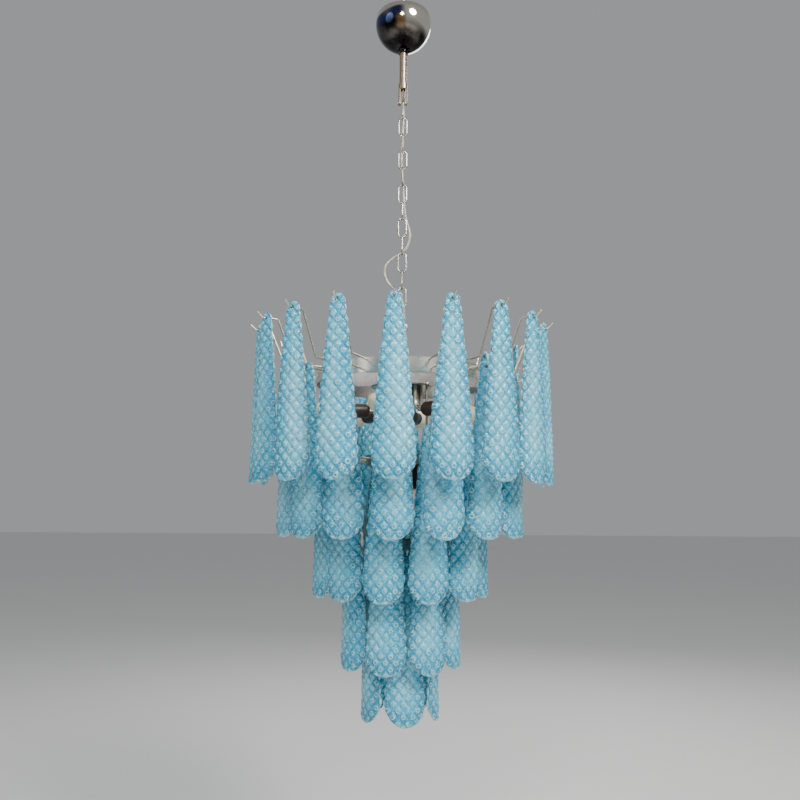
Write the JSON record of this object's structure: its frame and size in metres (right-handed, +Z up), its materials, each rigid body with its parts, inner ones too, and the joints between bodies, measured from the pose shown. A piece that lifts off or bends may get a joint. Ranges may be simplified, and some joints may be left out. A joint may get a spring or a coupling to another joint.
{
  "type": "tiered glass petal chandelier",
  "caption": "Hanging ceiling lamp: tiers of long quilted glass petals on hook wires around stepped metal rings, on a chain with an open ball canopy.",
  "frame": {"origin": "centre of the ceiling plate's upper face, midway between its two screw holes", "axes": "+Z up to the ceiling; X along the line of the two screw holes; -Y towards the viewer"},
  "size_m": [0.5464, 0.5506, 1.3705],
  "materials": {
    "petal_glass": "thick aqua glass, quilted and full of fine bubbles",
    "zinc_steel": "zinc plated, dull",
    "nickel_plate": "warm nickel plate, lightly worn",
    "hook_wire": "nickelled wire, satin",
    "terminal_plastic": "moulded, matt",
    "brown_bakelite": "aged bakelite",
    "holder_plastic": "phenolic, satin",
    "bulb_glass": "frosted",
    "cable_sheath": "translucent pale flex"
  },
  "bodies": {
    "ceiling": {"ceiling_plate": "zinc_steel", "ceiling_hook": "zinc_steel"},
    "stem": {"stem_eye": "nickel_plate", "stem_tube": "nickel_plate", "stem_fork": "nickel_plate", "fork_pin": "nickel_plate", "canopy_terminal_block": "terminal_plastic"},
    "canopy": {"canopy_cup": "nickel_plate", "canopy_collar": "nickel_plate"},
    "chain": {"chain_links": "nickel_plate", "power_cable": "cable_sheath"},
    "frame": {"column_eye": "nickel_plate", "column_tube": "nickel_plate", "top_ring": "nickel_plate", "top_spokes": "nickel_plate", "hub_disc": "nickel_plate", "hanger_rods": "nickel_plate", "rod_ball_nuts": "nickel_plate", "junction_block": "brown_bakelite", "lamp_arms": "hook_wire", "lamp_holders": "holder_plastic", "candle_bulbs": "bulb_glass", "middle_gallery": "nickel_plate", "lower_gallery": "nickel_plate", "finial_nut": "nickel_plate", "top_hook_wires": "hook_wire", "middle_hook_wires": "hook_wire", "lower_hook_wires": "hook_wire"},
    "tier1_pair_01": {"tier1_pair_01": "petal_glass"},
    "tier1_pair_02": {"tier1_pair_02": "petal_glass"},
    "tier1_pair_03": {"tier1_pair_03": "petal_glass"},
    "tier1_pair_04": {"tier1_pair_04": "petal_glass"},
    "tier1_pair_05": {"tier1_pair_05": "petal_glass"},
    "tier1_pair_06": {"tier1_pair_06": "petal_glass"},
    "tier1_pair_07": {"tier1_pair_07": "petal_glass"},
    "tier1_pair_08": {"tier1_pair_08": "petal_glass"},
    "tier1_pair_09": {"tier1_pair_09": "petal_glass"},
    "tier2_pair_01": {"tier2_pair_01": "petal_glass"},
    "tier2_pair_02": {"tier2_pair_02": "petal_glass"},
    "tier2_pair_03": {"tier2_pair_03": "petal_glass"},
    "tier2_pair_04": {"tier2_pair_04": "petal_glass"},
    "tier2_pair_05": {"tier2_pair_05": "petal_glass"},
    "tier2_pair_06": {"tier2_pair_06": "petal_glass"},
    "tier2_pair_07": {"tier2_pair_07": "petal_glass"},
    "tier2_pair_08": {"tier2_pair_08": "petal_glass"},
    "tier3_pair_01": {"tier3_pair_01": "petal_glass"},
    "tier3_pair_02": {"tier3_pair_02": "petal_glass"},
    "tier3_pair_03": {"tier3_pair_03": "petal_glass"},
    "tier3_pair_04": {"tier3_pair_04": "petal_glass"},
    "tier3_pair_05": {"tier3_pair_05": "petal_glass"},
    "tier3_pair_06": {"tier3_pair_06": "petal_glass"},
    "tier4_pair_01": {"tier4_pair_01": "petal_glass"},
    "tier4_pair_02": {"tier4_pair_02": "petal_glass"},
    "tier4_pair_03": {"tier4_pair_03": "petal_glass"},
    "tier4_pair_04": {"tier4_pair_04": "petal_glass"},
    "tier5_petal_01": {"tier5_petal_01": "petal_glass"},
    "tier5_petal_02": {"tier5_petal_02": "petal_glass"},
    "tier5_petal_03": {"tier5_petal_03": "petal_glass"},
    "tier5_petal_04": {"tier5_petal_04": "petal_glass"},
    "tier5_petal_05": {"tier5_petal_05": "petal_glass"}
  },
  "joints": [
    {"name": "stem_swing", "type": "hinge", "parent": "ceiling", "child": "stem", "pos_m": [0, 0, -0.034], "axis": [0, 1, 0], "range_deg": [-6, 6]},
    {"name": "canopy_slide", "type": "slide", "parent": "stem", "child": "canopy", "axis": [0, 0, 1], "range_m": [-0.06, 0]},
    {"name": "chain_swing", "type": "hinge", "parent": "stem", "child": "chain", "pos_m": [0, 0, -0.2372], "axis": [1, 0, 0], "range_deg": [-5, 5]},
    {"name": "frame_swing", "type": "hinge", "parent": "chain", "child": "frame", "pos_m": [0, 0, -0.67805], "axis": [0, 1, 0], "range_deg": [-5, 5]},
    {"name": "tier1_pair_01_swing", "type": "hinge", "parent": "frame", "child": "tier1_pair_01", "pos_m": [0.03316, -0.25191, -0.6965], "axis": [-0.9914, -0.1305, 0], "range_deg": [-3.5, 12]},
    {"name": "tier1_pair_02_swing", "type": "hinge", "parent": "frame", "child": "tier1_pair_02", "pos_m": [0.18733, -0.17165, -0.6965], "axis": [-0.6756, -0.7373, 0], "range_deg": [-3.5, 12]},
    {"name": "tier1_pair_03_swing", "type": "hinge", "parent": "frame", "child": "tier1_pair_03", "pos_m": [0.25384, -0.01108, -0.6965], "axis": [-0.0436, -0.999, 0], "range_deg": [-3.5, 12]},
    {"name": "tier1_pair_04_swing", "type": "hinge", "parent": "frame", "child": "tier1_pair_04", "pos_m": [0.20158, 0.15467, -0.6965], "axis": [0.6088, -0.7934, 0], "range_deg": [-3.5, 12]},
    {"name": "tier1_pair_05_swing", "type": "hinge", "parent": "frame", "child": "tier1_pair_05", "pos_m": [0.05499, 0.24806, -0.6965], "axis": [0.9763, -0.2164, 0], "range_deg": [-3.5, 12]},
    {"name": "tier1_pair_06_swing", "type": "hinge", "parent": "frame", "child": "tier1_pair_06", "pos_m": [-0.11732, 0.22537, -0.6965], "axis": [0.887, 0.4617, 0], "range_deg": [-3.5, 12]},
    {"name": "tier1_pair_07_swing", "type": "hinge", "parent": "frame", "child": "tier1_pair_07", "pos_m": [-0.23474, 0.09723, -0.6965], "axis": [0.3827, 0.9239, 0], "range_deg": [-3.5, 12]},
    {"name": "tier1_pair_08_swing", "type": "hinge", "parent": "frame", "child": "tier1_pair_08", "pos_m": [-0.24232, -0.0764, -0.6965], "axis": [-0.3007, 0.9537, 0], "range_deg": [-3.5, 12]},
    {"name": "tier1_pair_09_swing", "type": "hinge", "parent": "frame", "child": "tier1_pair_09", "pos_m": [-0.13652, -0.21429, -0.6965], "axis": [-0.8434, 0.5373, 0], "range_deg": [-3.5, 12]},
    {"name": "tier2_pair_01_swing", "type": "hinge", "parent": "frame", "child": "tier2_pair_01", "pos_m": [0.02738, -0.20117, -0.7855], "axis": [-0.9909, -0.1349, 0], "range_deg": [-1.5, 6]},
    {"name": "tier2_pair_02_swing", "type": "hinge", "parent": "frame", "child": "tier2_pair_02", "pos_m": [0.16161, -0.12289, -0.7855], "axis": [-0.6053, -0.796, 0], "range_deg": [-1.5, 6]},
    {"name": "tier2_pair_03_swing", "type": "hinge", "parent": "frame", "child": "tier2_pair_03", "pos_m": [0.20117, 0.02738, -0.7855], "axis": [0.1349, -0.9909, 0], "range_deg": [-1.5, 6]},
    {"name": "tier2_pair_04_swing", "type": "hinge", "parent": "frame", "child": "tier2_pair_04", "pos_m": [0.12289, 0.16161, -0.7855], "axis": [0.796, -0.6053, 0], "range_deg": [-1.5, 6]},
    {"name": "tier2_pair_05_swing", "type": "hinge", "parent": "frame", "child": "tier2_pair_05", "pos_m": [-0.02738, 0.20117, -0.7855], "axis": [0.9909, 0.1349, 0], "range_deg": [-1.5, 6]},
    {"name": "tier2_pair_06_swing", "type": "hinge", "parent": "frame", "child": "tier2_pair_06", "pos_m": [-0.16161, 0.12289, -0.7855], "axis": [0.6053, 0.796, 0], "range_deg": [-1.5, 6]},
    {"name": "tier2_pair_07_swing", "type": "hinge", "parent": "frame", "child": "tier2_pair_07", "pos_m": [-0.20117, -0.02738, -0.7855], "axis": [-0.1349, 0.9909, 0], "range_deg": [-1.5, 6]},
    {"name": "tier2_pair_08_swing", "type": "hinge", "parent": "frame", "child": "tier2_pair_08", "pos_m": [-0.12289, -0.16161, -0.7855], "axis": [-0.796, 0.6053, 0], "range_deg": [-1.5, 6]},
    {"name": "tier3_pair_01_swing", "type": "hinge", "parent": "frame", "child": "tier3_pair_01", "pos_m": [0.00963, -0.13779, -0.8875], "axis": [-0.9976, -0.0698, 0], "range_deg": [0, 9]},
    {"name": "tier3_pair_02_swing", "type": "hinge", "parent": "frame", "child": "tier3_pair_02", "pos_m": [0.12415, -0.06055, -0.8875], "axis": [-0.4384, -0.8988, 0], "range_deg": [0, 9]},
    {"name": "tier3_pair_03_swing", "type": "hinge", "parent": "frame", "child": "tier3_pair_03", "pos_m": [0.11451, 0.07724, -0.8875], "axis": [0.5592, -0.829, 0], "range_deg": [0, 9]},
    {"name": "tier3_pair_04_swing", "type": "hinge", "parent": "frame", "child": "tier3_pair_04", "pos_m": [-0.00963, 0.13779, -0.8875], "axis": [0.9976, 0.0698, 0], "range_deg": [0, 9]},
    {"name": "tier3_pair_05_swing", "type": "hinge", "parent": "frame", "child": "tier3_pair_05", "pos_m": [-0.12415, 0.06055, -0.8875], "axis": [0.4384, 0.8988, 0], "range_deg": [0, 9]},
    {"name": "tier3_pair_06_swing", "type": "hinge", "parent": "frame", "child": "tier3_pair_06", "pos_m": [-0.11451, -0.07724, -0.8875], "axis": [-0.5592, 0.829, 0], "range_deg": [0, 9]},
    {"name": "tier4_pair_01_swing", "type": "hinge", "parent": "frame", "child": "tier4_pair_01", "pos_m": [0.01222, -0.08691, -1.0065], "axis": [-0.9903, -0.1392, 0], "range_deg": [0, 6]},
    {"name": "tier4_pair_02_swing", "type": "hinge", "parent": "frame", "child": "tier4_pair_02", "pos_m": [0.08691, 0.01222, -1.0065], "axis": [0.1392, -0.9903, 0], "range_deg": [0, 6]},
    {"name": "tier4_pair_03_swing", "type": "hinge", "parent": "frame", "child": "tier4_pair_03", "pos_m": [-0.01222, 0.08691, -1.0065], "axis": [0.9903, 0.1392, 0], "range_deg": [0, 6]},
    {"name": "tier4_pair_04_swing", "type": "hinge", "parent": "frame", "child": "tier4_pair_04", "pos_m": [-0.08691, -0.01222, -1.0065], "axis": [-0.1392, 0.9903, 0], "range_deg": [0, 6]},
    {"name": "tier5_petal_01_swing", "type": "hinge", "parent": "frame", "child": "tier5_petal_01", "pos_m": [0.00939, -0.05926, -1.0925], "axis": [-0.9877, -0.1564, 0], "range_deg": [0, 4.5]},
    {"name": "tier5_petal_02_swing", "type": "hinge", "parent": "frame", "child": "tier5_petal_02", "pos_m": [0.05926, -0.00939, -1.0925], "axis": [-0.1564, -0.9877, 0], "range_deg": [0, 4.5]},
    {"name": "tier5_petal_03_swing", "type": "hinge", "parent": "frame", "child": "tier5_petal_03", "pos_m": [0.02724, 0.05346, -1.0925], "axis": [0.891, -0.454, 0], "range_deg": [0, 4.5]},
    {"name": "tier5_petal_04_swing", "type": "hinge", "parent": "frame", "child": "tier5_petal_04", "pos_m": [-0.04243, 0.04243, -1.0925], "axis": [0.7071, 0.7071, 0], "range_deg": [0, 4.5]},
    {"name": "tier5_petal_05_swing", "type": "hinge", "parent": "frame", "child": "tier5_petal_05", "pos_m": [-0.05346, -0.02724, -1.0925], "axis": [-0.454, 0.891, 0], "range_deg": [0, 4.5]}
  ]
}
